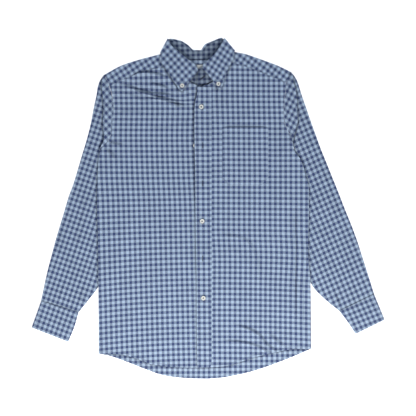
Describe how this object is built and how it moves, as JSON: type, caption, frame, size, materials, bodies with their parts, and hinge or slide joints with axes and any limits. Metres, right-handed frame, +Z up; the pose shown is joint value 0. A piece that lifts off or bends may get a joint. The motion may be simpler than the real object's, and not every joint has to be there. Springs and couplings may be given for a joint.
{
  "type": "flannel shirt",
  "caption": "Long-sleeved button-down flannel shirt with a chest pocket, laid flat front up, in small blue gingham checks.",
  "frame": {"origin": "middle of the shirt's outline, on the surface it lies on", "axes": "+Z up from the surface, +Y from the hem to the collar, +X to the wearer's left, which is the picture's right"},
  "size_m": [0.8805, 0.8518, 0.0113],
  "materials": {
    "flannel": "brushed cotton flannel in quarter-inch navy and light blue gingham, soft and matt",
    "label": "plain woven label, pale and smooth",
    "button": "cream resin with a soft shine"
  },
  "bodies": {
    "root": {"back": "flannel", "yoke": "flannel", "front_right": "flannel", "front_left": "flannel", "placket": "flannel", "pocket": "flannel", "sleeve_right": "flannel", "sleeve_left": "flannel", "cuff_right": "flannel", "cuff_left": "flannel", "collar_stand": "flannel", "collar": "flannel", "label": "label", "button_front_1": "button", "button_front_2": "button", "button_front_3": "button", "button_front_4": "button", "button_front_5": "button", "button_front_6": "button", "button_stand": "button", "button_collar_right": "button", "button_collar_left": "button"}
  },
  "joints": []
}
